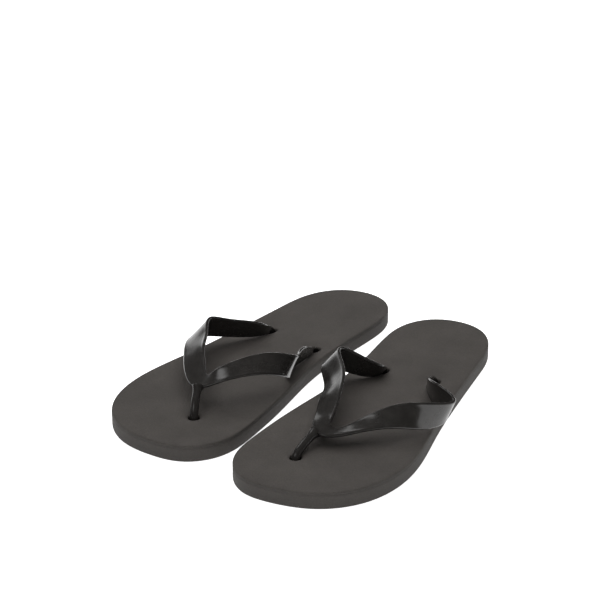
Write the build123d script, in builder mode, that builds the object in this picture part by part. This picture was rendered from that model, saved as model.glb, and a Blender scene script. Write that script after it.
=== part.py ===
from build123d import *
import os
from math import cos, radians, sin

# A pair of flip flops standing on the floor, toes towards -Y. Millimetres, +Z up.
# Each shoe is drawn as a left foot in its own floor frame, the toe at -Y and the big-toe side at -X;
# the right shoe is the mirror image. One shoe is two pieces: a die-cut foam sole, and a one-piece
# moulded strap whose three plugs are pulled through the sole and seat in recesses underneath.

SOLE_THICKNESS = 11.0
SOLE_TOP_RADIUS = 1.2
SOLE_BOTTOM_RADIUS = 0.8
OUTLINE = [
    (-10, -135), (16, -129.5), (36, -113), (47, -88), (49, -60), (43.5, -20), (37, 35), (33, 80),
    (28, 109), (15, 128), (-4.5, 135), (-24.5, 129), (-36.5, 112), (-39.5, 85), (-37.5, 45),
    (-39, 3), (-46, -44), (-50, -84), (-47, -115), (-32, -131.5),
]

TOE_HOLE = (-15, -95.5)
TOE_HOLE_DIAMETER = 7.0
SIDE_HOLE_LENGTH = 12.0
SIDE_HOLE_WIDTH = 6.0
RECESS_DIAMETER = 21.0
RECESS_DEPTH = 2.6

RIBBON_THICKNESS = 2.2
RIBBON_CORNER_RADIUS = 0.6
POST_DIAMETER = 5.4
POST_BEND_LENGTH = 3.0
JUNCTION_RADIUS = 3.4
NECK_LENGTH = 9.0
NECK_WIDTH = 3.6
PLUG_DIAMETER = 20.0
PLUG_THICKNESS = 2.0

# A strap is one ribbon that runs from the lateral side hole, round the V over the toe post, to the
# medial side hole. Its route is the (lower edge, upper edge) points of its cross sections, the
# middle one at the V. The two straps rest differently, as soft straps do.
LEFT_SHOE = {
    "side": 1,
    "floor": Plane(origin=(51, -9, 0)),
    "side_holes": [(18, 38.5), (-19, 39.5)],
    "post_top": (-12, -75, 18.5),
    "route": [
        ((18, 34, 8), (18, 43, 9)), ((18, 29, 12), (20, 31, 18)), ((22, 19, 12), (23, 16, 24)),
        ((38, -2, 12), (37, -2, 30)), ((48, -17, 13), (54, -16, 29)), ((42, -36, 15), (42, -33, 32)),
        ((30, -54, 21), (24, -42, 30)), ((15, -66, 21), (8, -54, 22)), ((2, -75, 19), (-2, -64, 18)),
        ((-8, -78, 19), (-6, -66, 20)), ((-16, -71, 20), (-7, -63, 21)), ((-22, -55, 19), (-9, -52, 25)),
        ((-28, -37, 20), (-14, -33, 30)), ((-34, -18, 20), (-22, -14, 34)), ((-44, -2, 24), (-33, 2, 37)),
        ((-42, 9, 20), (-33, 11, 35)), ((-24, 22, 12), (-17, 18, 26)), ((-18, 31, 11), (-13, 30, 18)),
        ((-19, 35, 8), (-19, 44, 9)),
    ],
}
RIGHT_SHOE = {
    "side": -1,
    "floor": Plane(origin=(-51, 10, 0), x_dir=(cos(radians(-5)), sin(radians(-5)), 0)),
    "side_holes": [(17, 42.5), (-25, 31.5)],
    "post_top": (-9, -82, 24.5),
    "route": [
        ((17, 38, 8), (17, 47, 9)), ((15, 34, 11), (14, 34, 18)), ((19, 24, 12), (15, 21, 25)),
        ((33, 5, 16), (26, 4, 31)), ((41, -14, 21), (31, -10, 36)), ((35, -34, 24), (22, -26, 34)),
        ((24, -51, 24), (12, -44, 33)), ((12, -67, 23), (1, -59, 30)), ((-2, -79, 22), (-7, -69, 28)),
        ((-13, -82, 25), (-11, -71, 29)), ((-24, -78, 30), (-15, -69, 33)), ((-35, -66, 32), (-23, -58, 37)),
        ((-44, -49, 28), (-35, -40, 38)), ((-43, -30, 18), (-44, -25, 33)), ((-34, -17, 12), (-42, -16, 29)),
        ((-30, -4, 12), (-37, -6, 26)), ((-30, 12, 12), (-32, 8, 23)), ((-28, 23, 11), (-29, 21, 17)),
        ((-25, 27, 8), (-25, 36, 9)),
    ],
}


def mirrored(shoe, point):
    """A left-foot point as it lies in this shoe's own floor frame."""
    return (shoe["side"] * point[0], *point[1:])


def make_sole(name, shoe):
    floor = shoe["floor"]
    toe = mirrored(shoe, TOE_HOLE)
    side_spots = [Location(mirrored(shoe, spot), 90) for spot in shoe["side_holes"]]
    with BuildPart() as sole:
        with BuildSketch(floor):
            with BuildLine():
                Spline(*[mirrored(shoe, point) for point in OUTLINE], periodic=True)
            make_face()
        extrude(amount=SOLE_THICKNESS)
        top = sole.faces().sort_by(Axis.Z)[-1]
        fillet(top.edges(), SOLE_TOP_RADIUS)
        bottom = sole.faces().sort_by(Axis.Z)[0]
        fillet(bottom.edges(), SOLE_BOTTOM_RADIUS)
        with BuildSketch(floor):
            with Locations(toe):
                Circle(TOE_HOLE_DIAMETER / 2)
            with Locations(*side_spots):
                SlotOverall(SIDE_HOLE_LENGTH, SIDE_HOLE_WIDTH)
        extrude(amount=SOLE_THICKNESS, mode=Mode.SUBTRACT)
        with BuildSketch(floor):
            with Locations(Location(toe), *side_spots):
                Circle(RECESS_DIAMETER / 2)
        extrude(amount=RECESS_DEPTH, mode=Mode.SUBTRACT)
    sole.part.label = name
    export_step(sole.part, f"parts/{name}.step")
    return sole.part


def refined(points):
    """The points with one more between each two, on the smooth curve through them."""
    last = len(points) - 1
    result = []
    for i in range(last):
        before = points[max(i - 1, 0)]
        after = points[min(i + 2, last)]
        result.append(points[i])
        result.append(((points[i] + points[i + 1]) * 9 - before - after) / 16)
    return result + [points[last]]


def ribbon_sections(shoe):
    """(plane, width) of each cross section of the ribbon, the plane's x axis along the width."""
    floor = shoe["floor"]
    lower = refined([floor.from_local_coords(Vector(*mirrored(shoe, low))) for low, high in shoe["route"]])
    upper = refined([floor.from_local_coords(Vector(*mirrored(shoe, high))) for low, high in shoe["route"]])
    middles = [(low + high) / 2 for low, high in zip(lower, upper)]
    last = len(middles) - 1
    sections = []
    for i, (low, high) in enumerate(zip(lower, upper)):
        across = (high - low).normalized()
        along = middles[min(i + 1, last)] - middles[max(i - 1, 0)]
        square = along - across * along.dot(across)
        sections.append((Plane(origin=middles[i], x_dir=across, z_dir=square), (high - low).length))
    return sections


def post_sections(shoe):
    """Planes across the toe post: two upright ones in the sole, then two along its lean to the V."""
    floor = shoe["floor"]
    toe = mirrored(shoe, TOE_HOLE)
    top = Vector(*mirrored(shoe, shoe["post_top"]))
    foot = Vector(*toe, RECESS_DEPTH - PLUG_THICKNESS / 2)
    mouth = Vector(*toe, SOLE_THICKNESS)
    lean = (top - mouth).normalized()
    planes = []
    for point, along in (
        (foot, Vector(0, 0, 1)), (mouth - Vector(0, 0, POST_BEND_LENGTH), Vector(0, 0, 1)),
        (mouth + lean * POST_BEND_LENGTH, lean), (top, lean),
    ):
        origin = floor.from_local_coords(point)
        z_dir = floor.from_local_coords(point + along) - origin
        planes.append(Plane(origin=origin, x_dir=floor.x_dir, z_dir=z_dir))
    return planes


def make_strap(name, shoe):
    floor = shoe["floor"]
    toe = mirrored(shoe, TOE_HOLE)
    side_spots = [Location(mirrored(shoe, spot), 90) for spot in shoe["side_holes"]]
    plug_base = RECESS_DEPTH - PLUG_THICKNESS
    plug_middle = plug_base + PLUG_THICKNESS / 2
    sections = ribbon_sections(shoe)
    v_section = len(sections) // 2
    with BuildPart() as strap:
        for half in (sections[:v_section + 1], sections[v_section:]):
            for plane, width in half:
                with BuildSketch(plane):
                    RectangleRounded(width, RIBBON_THICKNESS, RIBBON_CORNER_RADIUS)
            loft()
        for plane in post_sections(shoe):
            with BuildSketch(plane):
                Circle(POST_DIAMETER / 2)
        loft()
        with Locations(post_sections(shoe)[-1]):
            Sphere(JUNCTION_RADIUS)
        with BuildSketch(floor.offset(plug_middle)):
            with Locations(*side_spots):
                SlotOverall(NECK_LENGTH, NECK_WIDTH)
        extrude(amount=SOLE_THICKNESS - plug_middle)
        with BuildSketch(floor.offset(plug_base)):
            with Locations(Location(toe), *side_spots):
                Circle(PLUG_DIAMETER / 2)
        extrude(amount=PLUG_THICKNESS)
    strap.part.label = name
    export_step(strap.part, f"parts/{name}.step")
    return strap.part


os.makedirs("parts", exist_ok=True)
for foot, shoe in (("left", LEFT_SHOE), ("right", RIGHT_SHOE)):
    make_sole(f"{foot}_sole", shoe)
    make_strap(f"{foot}_strap", shoe)
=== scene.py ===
import math

import bmesh
import bpy
import numpy as np
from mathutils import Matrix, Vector
from mathutils.geometry import delaunay_2d_cdt


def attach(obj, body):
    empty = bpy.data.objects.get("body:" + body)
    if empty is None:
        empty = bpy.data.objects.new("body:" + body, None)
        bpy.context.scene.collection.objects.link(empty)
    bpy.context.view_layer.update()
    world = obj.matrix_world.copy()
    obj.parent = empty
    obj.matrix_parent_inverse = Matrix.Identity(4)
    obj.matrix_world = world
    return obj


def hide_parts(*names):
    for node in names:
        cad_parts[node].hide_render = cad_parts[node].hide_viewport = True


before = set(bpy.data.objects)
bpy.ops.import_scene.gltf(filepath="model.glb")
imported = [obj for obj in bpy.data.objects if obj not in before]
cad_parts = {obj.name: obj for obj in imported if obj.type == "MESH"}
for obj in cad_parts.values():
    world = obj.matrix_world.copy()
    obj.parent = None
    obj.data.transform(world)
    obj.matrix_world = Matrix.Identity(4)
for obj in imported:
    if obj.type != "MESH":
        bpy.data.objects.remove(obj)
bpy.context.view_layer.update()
MM = 0.001

# ---------------------------------------------------------------- the two shoes, as in the CAD
# Each shoe is drawn as a left foot in its own floor frame, toe at -Y and big-toe side at -X, in
# millimetres. side mirrors the right shoe; origin and turn (degrees) set it on the floor. A strap's
# route runs from the lateral hole round the V to the medial hole, as (lower edge, upper edge) points.
SOLE_THICKNESS = 11.0
OUTLINE = [
    (-10, -135), (16, -129.5), (36, -113), (47, -88), (49, -60), (43.5, -20), (37, 35), (33, 80),
    (28, 109), (15, 128), (-4.5, 135), (-24.5, 129), (-36.5, 112), (-39.5, 85), (-37.5, 45),
    (-39, 3), (-46, -44), (-50, -84), (-47, -115), (-32, -131.5),
]
TOE_HOLE = (-15, -95.5)
TOE_HOLE_RADIUS = 3.6
SIDE_HOLE_LENGTH = 12.0
SIDE_HOLE_WIDTH = 6.0
RECESS_RADIUS = 10.5
RECESS_DEPTH = 2.6
PLUG_RADIUS = 10.0
PLUG_THICKNESS = 2.0
NECK_LENGTH = 9.0
POST_RADIUS = 2.7
RIBBON_THICKNESS = 2.2

LEFT_SHOE = {
    "side": 1, "origin": (51, -9), "turn": 0,
    "side_holes": [(18, 38.5), (-19, 39.5)],
    "post_top": (-12, -75, 18.5),
    "route": [
        ((18, 34, 8), (18, 43, 9)), ((18, 29, 12), (20, 31, 18)), ((22, 19, 12), (23, 16, 24)),
        ((38, -2, 12), (37, -2, 30)), ((48, -17, 13), (54, -16, 29)), ((42, -36, 15), (42, -33, 32)),
        ((30, -54, 21), (24, -42, 30)), ((15, -66, 21), (8, -54, 22)), ((2, -75, 19), (-2, -64, 18)),
        ((-8, -78, 19), (-6, -66, 20)), ((-16, -71, 20), (-7, -63, 21)), ((-22, -55, 19), (-9, -52, 25)),
        ((-28, -37, 20), (-14, -33, 30)), ((-34, -18, 20), (-22, -14, 34)), ((-44, -2, 24), (-33, 2, 37)),
        ((-42, 9, 20), (-33, 11, 35)), ((-24, 22, 12), (-17, 18, 26)), ((-18, 31, 11), (-13, 30, 18)),
        ((-19, 35, 8), (-19, 44, 9)),
    ],
}
RIGHT_SHOE = {
    "side": -1, "origin": (-51, 10), "turn": -5,
    "side_holes": [(17, 42.5), (-25, 31.5)],
    "post_top": (-9, -82, 24.5),
    "route": [
        ((17, 38, 8), (17, 47, 9)), ((15, 34, 11), (14, 34, 18)), ((19, 24, 12), (15, 21, 25)),
        ((33, 5, 16), (26, 4, 31)), ((41, -14, 21), (31, -10, 36)), ((35, -34, 24), (22, -26, 34)),
        ((24, -51, 24), (12, -44, 33)), ((12, -67, 23), (1, -59, 30)), ((-2, -79, 22), (-7, -69, 28)),
        ((-13, -82, 25), (-11, -71, 29)), ((-24, -78, 30), (-15, -69, 33)), ((-35, -66, 32), (-23, -58, 37)),
        ((-44, -49, 28), (-35, -40, 38)), ((-43, -30, 18), (-44, -25, 33)), ((-34, -17, 12), (-42, -16, 29)),
        ((-30, -4, 12), (-37, -6, 26)), ((-30, 12, 12), (-32, 8, 23)), ((-28, 23, 11), (-29, 21, 17)),
        ((-25, 27, 8), (-25, 36, 9)),
    ],
}


def on_floor(points, shoe):
    """Turns points of a shoe's own frame, in millimetres, into metres in the shared frame."""
    points = np.asarray(points, float)
    turn = math.radians(shoe["turn"])
    x = points[:, 0] * shoe["side"]
    y = points[:, 1]
    ox, oy = shoe["origin"]
    world_x = ox + x * math.cos(turn) - y * math.sin(turn)
    world_y = oy + x * math.sin(turn) + y * math.cos(turn)
    return np.column_stack([world_x, world_y, points[:, 2]]) * MM


def spline(knots, values, at, closed=False):
    """The cubic spline through values at the knots, read at the parameters in at."""
    count = len(knots)
    step = np.diff(knots)
    slope = np.diff(values, axis=0) / step[:, None]
    system = np.eye(count)
    right = np.zeros_like(values)
    for i in range(1, count - 1):
        system[i, i - 1:i + 2] = step[i - 1], 2 * (step[i - 1] + step[i]), step[i]
        right[i] = 6 * (slope[i] - slope[i - 1])
    if closed:
        system[0, 0] = 2 * (step[0] + step[-1])
        system[0, 1] = step[0]
        system[0, -2] = step[-1]
        right[0] = 6 * (slope[0] - slope[-1])
        system[-1, 0] = -1
    bend = np.linalg.solve(system, right)
    i = np.clip(np.searchsorted(knots, at, side="right") - 1, 0, count - 2)
    width = step[i][:, None]
    after = (at - knots[i])[:, None]
    before = width - after
    curve = (bend[i] * before ** 3 + bend[i + 1] * after ** 3) / (6 * width)
    start = (values[i] / width - bend[i] * width / 6) * before
    end = (values[i + 1] / width - bend[i + 1] * width / 6) * after
    return curve + start + end


def closed_curve(points, count):
    """count evenly spaced points on the smooth closed curve through points."""
    values = np.array(points + points[:1], float)
    knots = np.concatenate([[0], np.cumsum(np.linalg.norm(np.diff(values, axis=0), axis=1))])
    fine = spline(knots, values, np.linspace(0, knots[-1], 12 * count + 1), closed=True)
    run = np.concatenate([[0], np.cumsum(np.linalg.norm(np.diff(fine, axis=0), axis=1))])
    even = np.linspace(0, run[-1], count, endpoint=False)
    return np.column_stack([np.interp(even, run, fine[:, 0]), np.interp(even, run, fine[:, 1])])


def outward(ring):
    """Unit outward normals of a closed ring of plan points, counter-clockwise or clockwise."""
    along = np.roll(ring, -1, axis=0) - np.roll(ring, 1, axis=0)
    normal = np.column_stack([along[:, 1], -along[:, 0]])
    normal /= np.linalg.norm(normal, axis=1)[:, None]
    away = ((ring - ring.mean(axis=0)) * normal).sum()
    return normal * np.sign(away)


def add_object(name, points, faces, shoe, material):
    """A smooth-shaded mesh object from points in a shoe's own frame."""
    bm = bmesh.new()
    corners = [bm.verts.new(p) for p in on_floor(points, shoe)]
    for face in faces:
        bm.faces.new([corners[i] for i in face])
    bmesh.ops.remove_doubles(bm, verts=bm.verts, dist=0.01 * MM)
    bmesh.ops.recalc_face_normals(bm, faces=bm.faces)
    mesh = bpy.data.meshes.new(name)
    bm.to_mesh(mesh)
    bm.free()
    mesh.shade_smooth()
    mesh.materials.append(material)
    piece = bpy.data.objects.new(name, mesh)
    bpy.context.scene.collection.objects.link(piece)
    return piece


# ---------------------------------------------------------------- soles
OUTLINE_STEPS = 300
HOLE_STEPS = 44
GRID = 2.0
GRID_MARGIN = 1.3
# The sole's side, from the edge of the flat top down to the flat underside, as (inset, height).
SIDE_PROFILE = [
    (1.3, 11.0), (0.85, 10.93), (0.45, 10.74), (0.17, 10.42), (0.03, 10.0), (0.0, 9.6), (0.0, 9.35),
    (0.22, 9.15), (0.0, 8.95), (0.0, 8.0), (0.02, 6.5), (0.02, 4.5), (0.0, 2.5), (0.02, 1.2),
    (0.12, 0.6), (0.4, 0.15), (0.8, 0.0),
]
HOLE_LIP = [(1.1, 0.0), (0.7, 0.1), (0.3, 0.4), (0.05, 0.9), (0.0, 1.6)]
TOE_DIP = 1.1
TOE_DIP_REACH = 5.5
SIDE_DIP = 2.0
SIDE_DIP_REACH = 8.0
SIDE_DIP_BACK = 3.5


def footbed_height(x, y, shoe):
    """Height of the footbed: the straps pull it down a little round their holes."""
    height = np.full_like(x, SOLE_THICKNESS)
    reach = np.hypot(x - TOE_HOLE[0], y - TOE_HOLE[1]) / TOE_DIP_REACH
    height = height - TOE_DIP * np.exp(-reach ** 2)
    for hole_x, hole_y in shoe["side_holes"]:
        reach = np.hypot(x - hole_x, (y - hole_y - SIDE_DIP_BACK) * 0.8) / SIDE_DIP_REACH
        height = height - SIDE_DIP * np.exp(-reach ** 2)
    return height


def hole_rings(shoe):
    """(centre, ring) of each hole in the sole, the rings as plan points about the centre."""
    angles = np.linspace(0, 2 * math.pi, HOLE_STEPS, endpoint=False)
    circle = np.column_stack([np.cos(angles), np.sin(angles)])
    stretch = (SIDE_HOLE_LENGTH - SIDE_HOLE_WIDTH) / 2
    slot = circle * SIDE_HOLE_WIDTH / 2
    slot[:, 1] += stretch * np.tanh(circle[:, 1] * 4)
    holes = [(np.array(TOE_HOLE, float), circle * TOE_HOLE_RADIUS)]
    for spot in shoe["side_holes"]:
        holes.append((np.array(spot, float), slot))
    return holes


def inside(points, ring):
    """Which plan points lie inside a closed ring."""
    x, y = points[:, 0], points[:, 1]
    found = np.zeros(len(points), bool)
    for (ax, ay), (bx, by) in zip(ring, np.roll(ring, -1, axis=0)):
        crosses = (ay > y) != (by > y)
        if ay != by:
            found ^= crosses & (x < ax + (y - ay) * (bx - ax) / (by - ay))
    return found


def near(points, ring, distance):
    """Which plan points are within a distance of a ring's points."""
    gaps = np.linalg.norm(points[:, None] - ring[None], axis=2)
    return gaps.min(axis=1) < distance


def flat_sheet(outer, holes):
    """Triangles between an outer ring and the rings of holes in it: (plan points, faces)."""
    low, high = outer.min(axis=0), outer.max(axis=0)
    rows = []
    for row, y in enumerate(np.arange(low[1], high[1], GRID * math.sqrt(3) / 2)):
        x = np.arange(low[0] + (row % 2) * GRID / 2, high[0], GRID)
        rows.append(np.column_stack([x, np.full_like(x, y)]))
    grid = np.concatenate(rows)
    grid = grid[inside(grid, outer)]
    for ring in [outer] + holes:
        grid = grid[~near(grid, ring, GRID_MARGIN)]
    for ring in holes:
        grid = grid[~inside(grid, ring)]
    points, edges = [], []
    for ring in [outer] + holes:
        first = len(points)
        points += [Vector(p) for p in ring]
        edges += [(first + i, first + (i + 1) % len(ring)) for i in range(len(ring))]
    points += [Vector(p) for p in grid]
    verts, _, faces, _, _, _ = delaunay_2d_cdt(points, edges, [], 1, 1e-5)
    verts = np.array([tuple(v) for v in verts])
    middles = np.array([verts[list(face)].mean(axis=0) for face in faces])
    kept = inside(middles, outer)
    for ring in holes:
        kept &= ~inside(middles, ring)
    return verts, [face for face, keep in zip(faces, kept) if keep]


def band(first, second, count):
    """Quads between two closed rings of points, given the index where each starts."""
    quads = []
    for i in range(count):
        j = (i + 1) % count
        quads.append((first + i, first + j, second + j, second + i))
    return quads


def make_sole(name, shoe, material):
    outline = closed_curve(OUTLINE, OUTLINE_STEPS)
    normals = outward(outline)
    holes = hole_rings(shoe)
    points, faces = [], []

    def add(new_points, new_faces):
        start = sum(len(p) for p in points)
        points.append(np.asarray(new_points, float))
        faces.extend(tuple(start + i for i in face) for face in new_faces)
        return start

    def at_height(ring, height):
        return np.column_stack([ring, np.full(len(ring), height)])

    def add_rings(rings):
        starts = [add(ring, []) for ring in rings]
        for first, second in zip(starts, starts[1:]):
            faces.extend(band(first, second, len(rings[0])))

    top_edge = outline - normals * SIDE_PROFILE[0][0]
    lips = [centre + ring + outward(ring) * HOLE_LIP[0][0] for centre, ring in holes]
    verts, triangles = flat_sheet(top_edge, lips)
    add(np.column_stack([verts, footbed_height(verts[:, 0], verts[:, 1], shoe)]), triangles)

    side = []
    for inset, height in SIDE_PROFILE:
        ring = outline - normals * inset
        side.append(at_height(ring, height))
    side[0][:, 2] = footbed_height(side[0][:, 0], side[0][:, 1], shoe)
    add_rings(side)

    angles = np.linspace(0, 2 * math.pi, HOLE_STEPS, endpoint=False)
    recess = np.column_stack([np.cos(angles), np.sin(angles)]) * RECESS_RADIUS
    for centre, ring in holes:
        rings = []
        for outset, drop in HOLE_LIP:
            plan = centre + ring + outward(ring) * outset
            height = footbed_height(plan[:, 0], plan[:, 1], shoe) - drop
            rings.append(np.column_stack([plan, height]))
        rings.append(at_height(centre + ring, (SOLE_THICKNESS + RECESS_DEPTH) / 2 - 1))
        rings.append(at_height(centre + ring, RECESS_DEPTH))
        rings.append(at_height(centre + recess, RECESS_DEPTH))
        rings.append(at_height(centre + recess, 0))
        add_rings(rings)

    under_edge = outline - normals * SIDE_PROFILE[-1][0]
    verts, triangles = flat_sheet(under_edge, [centre + recess for centre, ring in holes])
    add(at_height(verts, 0), triangles)
    return add_object(name, np.concatenate(points), faces, shoe, material)


# ---------------------------------------------------------------- straps
RIBBON_STEPS = 320
POST_STEPS = 40
POST_SIDES = 24
PLUG_OVERLAP = 0.5
POST_NECK_DEPTH = 1.5
POST_BOW = (0.3, 0.3, 0.55)
BEAD_START = 0.7
EDGE_BEAD = 0.16
LIP_ANGLES = [75, 50, 25, 0, -25, -50, -75]
ACROSS = [1.0, 0.93, 0.85, 0.7, 0.45, 0.15, -0.15, -0.45, -0.7, -0.85, -0.93, -1.0]


def tube(rings):
    """A closed skin over a row of rings, capped at both ends: (points, faces)."""
    count, sides = len(rings), len(rings[0])
    points = np.concatenate(list(rings) + [[rings[0].mean(axis=0)], [rings[-1].mean(axis=0)]])
    faces = []
    for i in range(count - 1):
        faces += band(i * sides, (i + 1) * sides, sides)
    for centre, start in ((count * sides, 0), (count * sides + 1, (count - 1) * sides)):
        for i in range(sides):
            faces.append((start + i, start + (i + 1) % sides, centre))
    return points, faces


def ribbon_section(width):
    """The ribbon's section as (across, out) points: flat faces, a faint bead, and rounded edges."""
    half = RIBBON_THICKNESS / 2
    reach = width / 2 - half
    section = []
    for side in (1, -1):
        for place in ACROSS:
            bead = EDGE_BEAD * (max(abs(place) - BEAD_START, 0) / (1 - BEAD_START)) ** 2
            section.append((side * place * reach, side * (half - EDGE_BEAD + bead)))
        for angle in LIP_ANGLES:
            bend = math.radians(angle)
            section.append((-side * (reach + half * math.cos(bend)), side * half * math.sin(bend)))
    return np.array(section)


def make_ribbon(shoe):
    lower = [np.array(low, float) for low, high in shoe["route"]]
    upper = [np.array(high, float) for low, high in shoe["route"]]
    for edge, sign in ((lower, -1), (upper, 1)):
        seat = RECESS_DEPTH - PLUG_OVERLAP
        ends = [np.array([x, y + sign * NECK_LENGTH / 2, seat]) for x, y in shoe["side_holes"]]
        edge.insert(0, ends[0])
        edge.append(ends[1])
    both = np.column_stack([np.array(lower), np.array(upper)])
    middle = (both[:, :3] + both[:, 3:]) / 2
    gaps = np.sqrt(np.linalg.norm(np.diff(middle, axis=0), axis=1))
    knots = np.concatenate([[0], np.cumsum(gaps)])
    edges = spline(knots, both, np.linspace(0, knots[-1], RIBBON_STEPS))
    low, high = edges[:, :3], edges[:, 3:]
    middle = (low + high) / 2
    across = high - low
    widths = np.linalg.norm(across, axis=1)
    across /= widths[:, None]
    along = np.gradient(middle, axis=0)
    out = np.cross(across, along)
    out /= np.linalg.norm(out, axis=1)[:, None]
    rings = []
    for i in range(RIBBON_STEPS):
        section = ribbon_section(widths[i])
        rings.append(middle[i] + section[:, :1] * across[i] + section[:, 1:] * out[i])
    return tube(rings)


def make_post(shoe):
    top = np.array(shoe["post_top"], float)
    foot = np.array([*TOE_HOLE, RECESS_DEPTH - PLUG_OVERLAP])
    neck = np.array([*TOE_HOLE, SOLE_THICKNESS - POST_NECK_DEPTH])
    rise = neck + (top - neck) * np.array(POST_BOW)
    route = np.array([foot, (foot + neck) / 2, neck, rise, top])
    knots = np.concatenate([[0], np.cumsum(np.linalg.norm(np.diff(route, axis=0), axis=1))])
    centres = spline(knots, route, np.linspace(0, knots[-1], POST_STEPS))
    along = np.gradient(centres, axis=0)
    along /= np.linalg.norm(along, axis=1)[:, None]
    sideways = np.cross(along, [1, 0, 0])
    sideways /= np.linalg.norm(sideways, axis=1)[:, None]
    angles = np.linspace(0, 2 * math.pi, POST_SIDES, endpoint=False)
    rings = []
    for i in range(POST_STEPS):
        place = i / (POST_STEPS - 1)
        flare = 1 + 0.45 * max(0, (place - 0.8) / 0.2) ** 2
        other = np.cross(along[i], sideways[i])
        spokes = np.cos(angles)[:, None] * sideways[i] + np.sin(angles)[:, None] * other
        rings.append(centres[i] + spokes * POST_RADIUS * flare)
    return tube(rings)


def make_plug(spot):
    angles = np.linspace(0, 2 * math.pi, HOLE_STEPS, endpoint=False)
    circle = np.column_stack([np.cos(angles), np.sin(angles), np.zeros(HOLE_STEPS)])
    base = RECESS_DEPTH - PLUG_THICKNESS
    rings = []
    for inset, height in ((4, 0), (0.9, 0), (0.3, 0.2), (0, 0.7), (0, 1.4), (0.3, 1.8), (0.9, 2), (4, 2)):
        rings.append(circle * (PLUG_RADIUS - inset) + [*spot, base + height])
    return tube(rings)


def make_strap(name, shoe, material):
    parts = [make_ribbon(shoe), make_post(shoe)]
    for spot in [TOE_HOLE] + shoe["side_holes"]:
        parts.append(make_plug(spot))
    points, faces = [], []
    for part_points, part_faces in parts:
        start = sum(len(p) for p in points)
        points.append(part_points)
        faces += [tuple(start + i for i in face) for face in part_faces]
    return add_object(name, np.concatenate(points), faces, shoe, material)


# ---------------------------------------------------------------- materials
def new_material(name):
    material = bpy.data.materials.new(name)
    material.use_nodes = True
    nodes = material.node_tree.nodes
    return material, nodes, material.node_tree.links, nodes["Principled BSDF"]


def add_noise(nodes, links, coords, scale, detail, roughness=0.5):
    noise = nodes.new("ShaderNodeTexNoise")
    noise.inputs["Scale"].default_value = scale
    noise.inputs["Detail"].default_value = detail
    noise.inputs["Roughness"].default_value = roughness
    links.new(coords.outputs["Object"], noise.inputs["Vector"])
    return noise


def add_ramp(nodes, links, source, low, high, start=0.3, stop=0.7):
    ramp = nodes.new("ShaderNodeValToRGB")
    ramp.color_ramp.elements[0].position = start
    ramp.color_ramp.elements[0].color = (*low, 1)
    ramp.color_ramp.elements[1].position = stop
    ramp.color_ramp.elements[1].color = (*high, 1)
    links.new(source, ramp.inputs["Fac"])
    return ramp


def add_range(nodes, links, source, low, high, start=0.3, stop=0.7):
    span = nodes.new("ShaderNodeMapRange")
    span.inputs["From Min"].default_value = start
    span.inputs["From Max"].default_value = stop
    span.inputs["To Min"].default_value = low
    span.inputs["To Max"].default_value = high
    links.new(source, span.inputs["Value"])
    return span


def multiply(nodes, links, first, second):
    mix = nodes.new("ShaderNodeMix")
    mix.data_type = "RGBA"
    mix.blend_type = "MULTIPLY"
    mix.inputs["Factor"].default_value = 1
    links.new(first, mix.inputs["A"])
    links.new(second, mix.inputs["B"])
    return mix.outputs["Result"]


def foam_material():
    """Matte grey EVA foam: faint cloudy mottling, fine grain and pores, and painted shade that darkens every
    face not pointing straight up, so the sides and underside read darker.
    """
    material, nodes, links, shader = new_material("eva_foam")
    coords = nodes.new("ShaderNodeTexCoord")
    clouds = add_noise(nodes, links, coords, 45, 4, 0.6)
    grain = add_noise(nodes, links, coords, 1500, 3, 0.7)
    pores = nodes.new("ShaderNodeTexVoronoi")
    pores.inputs["Scale"].default_value = 900
    links.new(coords.outputs["Object"], pores.inputs["Vector"])
    tint = add_ramp(nodes, links, clouds.outputs["Fac"], (0.058, 0.052, 0.0475), (0.077, 0.0695, 0.0635))
    speckle = add_ramp(nodes, links, grain.outputs["Fac"], (0.72, 0.72, 0.72), (1, 1, 1))
    colour = multiply(nodes, links, tint.outputs["Color"], speckle.outputs["Color"])
    # painted shade: the colour drops to 0.74 on faces turned away from straight up, the sides and underside
    geometry = nodes.new("ShaderNodeNewGeometry")
    split = nodes.new("ShaderNodeSeparateXYZ")
    links.new(geometry.outputs["Normal"], split.inputs["Vector"])
    painted_side_shade = add_ramp(nodes, links, split.outputs["Z"], (0.74, 0.74, 0.74), (1, 1, 1), 0.1, 0.8)
    links.new(multiply(nodes, links, colour, painted_side_shade.outputs["Color"]), shader.inputs["Base Color"])
    rough = add_range(nodes, links, clouds.outputs["Fac"], 0.72, 0.84)
    links.new(rough.outputs["Result"], shader.inputs["Roughness"])
    shader.inputs["Specular IOR Level"].default_value = 0.35
    pits = nodes.new("ShaderNodeBump")
    pits.inputs["Strength"].default_value = 0.35
    pits.inputs["Distance"].default_value = 0.12 * MM
    links.new(pores.outputs["Distance"], pits.inputs["Height"])
    bump = nodes.new("ShaderNodeBump")
    bump.inputs["Strength"].default_value = 0.5
    bump.inputs["Distance"].default_value = 0.15 * MM
    links.new(grain.outputs["Fac"], bump.inputs["Height"])
    links.new(pits.outputs["Normal"], bump.inputs["Normal"])
    links.new(bump.outputs["Normal"], shader.inputs["Normal"])
    return material


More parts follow.
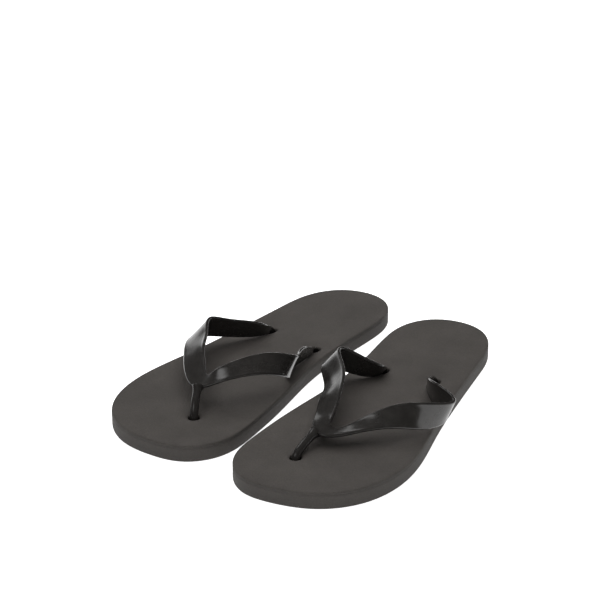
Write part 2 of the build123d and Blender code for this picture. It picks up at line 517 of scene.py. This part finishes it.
def strap_material():
    """Glossy near-black moulded PVC, with a faint uneven polish and mould ripple."""
    material, nodes, links, shader = new_material("strap_pvc")
    coords = nodes.new("ShaderNodeTexCoord")
    polish = add_noise(nodes, links, coords, 160, 4, 0.6)
    ripple = add_noise(nodes, links, coords, 60, 2)
    tint = add_ramp(nodes, links, polish.outputs["Fac"], (0.016, 0.0147, 0.0136), (0.022, 0.0202, 0.0186))
    links.new(tint.outputs["Color"], shader.inputs["Base Color"])
    rough = add_range(nodes, links, polish.outputs["Fac"], 0.15, 0.24)
    links.new(rough.outputs["Result"], shader.inputs["Roughness"])
    bump = nodes.new("ShaderNodeBump")
    bump.inputs["Strength"].default_value = 0.2
    bump.inputs["Distance"].default_value = 0.25 * MM
    links.new(ripple.outputs["Fac"], bump.inputs["Height"])
    links.new(bump.outputs["Normal"], shader.inputs["Normal"])
    return material


FLOOR_GLOW = 0.8


def floor_material():
    material, _, _, shader = new_material("studio_floor")
    shader.inputs["Base Color"].default_value = (0.9, 0.9, 0.9, 1)
    shader.inputs["Roughness"].default_value = 1
    shader.inputs["Specular IOR Level"].default_value = 0
    shader.inputs["Emission Color"].default_value = (1, 1, 1, 1)
    shader.inputs["Emission Strength"].default_value = FLOOR_GLOW
    return material


foam = foam_material()
plastic = strap_material()
for foot, shoe in (("left", LEFT_SHOE), ("right", RIGHT_SHOE)):
    sole = make_sole(f"{foot}_foam_sole", shoe, foam)
    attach(sole, f"{foot}_shoe")
    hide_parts(f"{foot}_sole")
    strap = make_strap(f"{foot}_moulded_strap", shoe, plastic)
    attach(strap, f"{foot}_shoe")
    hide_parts(f"{foot}_strap")

# ---------------------------------------------------------------- floor, light and camera
FLOOR_SIZE = 12.0
SKY = 0.07
WALL_RADIUS = 5.8
WALL_HEIGHT = 5.0
WALL_SIDES = 96
WALL_GLOW = 0.95


def make_floor():
    mesh = bpy.data.meshes.new("floor")
    half = FLOOR_SIZE / 2
    corners = [(-half, -half, 0), (half, -half, 0), (half, half, 0), (-half, half, 0)]
    mesh.from_pydata(corners, [], [(0, 1, 2, 3)])
    mesh.materials.append(floor_material())
    floor = bpy.data.objects.new("floor", mesh)
    bpy.context.scene.collection.objects.link(floor)


def make_wall():
    """A pale studio wall far around the floor; only the camera sees it."""
    turns = [2 * math.pi * i / WALL_SIDES for i in range(WALL_SIDES)]
    rim = [(WALL_RADIUS * math.cos(turn), WALL_RADIUS * math.sin(turn)) for turn in turns]
    points = [(x, y, 0) for x, y in rim] + [(x, y, WALL_HEIGHT) for x, y in rim]
    mesh = bpy.data.meshes.new("wall")
    mesh.from_pydata(points, [], [face[::-1] for face in band(0, WALL_SIDES, WALL_SIDES)])
    material, _, _, shader = new_material("studio_wall")
    shader.inputs["Base Color"].default_value = (0.05, 0.05, 0.05, 1)
    shader.inputs["Emission Color"].default_value = (1, 1, 1, 1)
    shader.inputs["Emission Strength"].default_value = WALL_GLOW
    mesh.materials.append(material)
    wall = bpy.data.objects.new("wall", mesh)
    wall.visible_glossy = False
    wall.visible_diffuse = False
    wall.visible_shadow = False
    bpy.context.scene.collection.objects.link(wall)


def add_softbox(name, azimuth, elevation, distance, size, radiance, mirrored=True):
    """A soft panel facing the shoes. One that isn't mirrored lights the scene without showing in
    the gloss of the straps."""
    width, height = size
    light = bpy.data.lights.new(name, "AREA")
    light.shape = "RECTANGLE"
    light.size = width
    light.size_y = height
    light.energy = radiance * math.pi * width * height
    lamp = bpy.data.objects.new(name, light)
    turn, rise = math.radians(azimuth), math.radians(elevation)
    away = Vector((math.sin(turn) * math.cos(rise), math.cos(turn) * math.cos(rise), math.sin(rise)))
    lamp.location = away * distance
    lamp.rotation_euler = (-away).to_track_quat("-Z", "Y").to_euler()
    lamp.visible_camera = False
    lamp.visible_glossy = mirrored
    bpy.context.scene.collection.objects.link(lamp)


def light_scene():
    """Even light from above and the front, and pale panels that the glossy straps mirror."""
    world = bpy.data.worlds.new("studio")
    bpy.context.scene.world = world
    world.use_nodes = True
    background = world.node_tree.nodes["Background"]
    background.inputs["Color"].default_value = (1, 1, 1, 1)
    background.inputs["Strength"].default_value = SKY
    add_softbox("overhead", -30, 80, 1.8, (2.6, 2.6), 1.9, mirrored=False)
    add_softbox("front_fill", 150, 25, 1.6, (1.2, 0.8), 1.2, mirrored=False)
    add_softbox("back_fill", -20, 35, 1.7, (1.4, 0.9), 1.6, mirrored=False)
    add_softbox("low_panel", -60, 5, 1.6, (1.3, 0.2), 1.5)
    add_softbox("high_panel", -68, 49, 1.3, (0.4, 0.35), 2.2)
    add_softbox("back_panel", -36, 20, 1.5, (0.3, 0.2), 1.3)
    add_softbox("side_panel", 190, 40, 1.5, (0.8, 0.6), 1.2)


CAMERA_AZIMUTH = math.radians(27)
CAMERA_ELEVATION = math.radians(23.05)
CAMERA_DISTANCE = 1.132
CAMERA_AIM = Vector((-0.0100, -0.0082, 0.0669))
CAMERA_LENS = 106.26
CAMERA_SENSOR = 36


def make_camera():
    data = bpy.data.cameras.new("camera")
    data.lens = CAMERA_LENS
    data.sensor_width = CAMERA_SENSOR
    camera = bpy.data.objects.new("camera", data)
    level = math.cos(CAMERA_ELEVATION)
    back = Vector((
        math.sin(CAMERA_AZIMUTH) * level, -math.cos(CAMERA_AZIMUTH) * level, math.sin(CAMERA_ELEVATION)
    ))
    camera.location = CAMERA_AIM + back * CAMERA_DISTANCE
    camera.rotation_euler = (-back).to_track_quat("-Z", "Y").to_euler()
    bpy.context.scene.collection.objects.link(camera)
    bpy.context.scene.camera = camera


make_floor()
make_wall()
light_scene()
make_camera()
bpy.context.scene.view_settings.view_transform = "Standard"
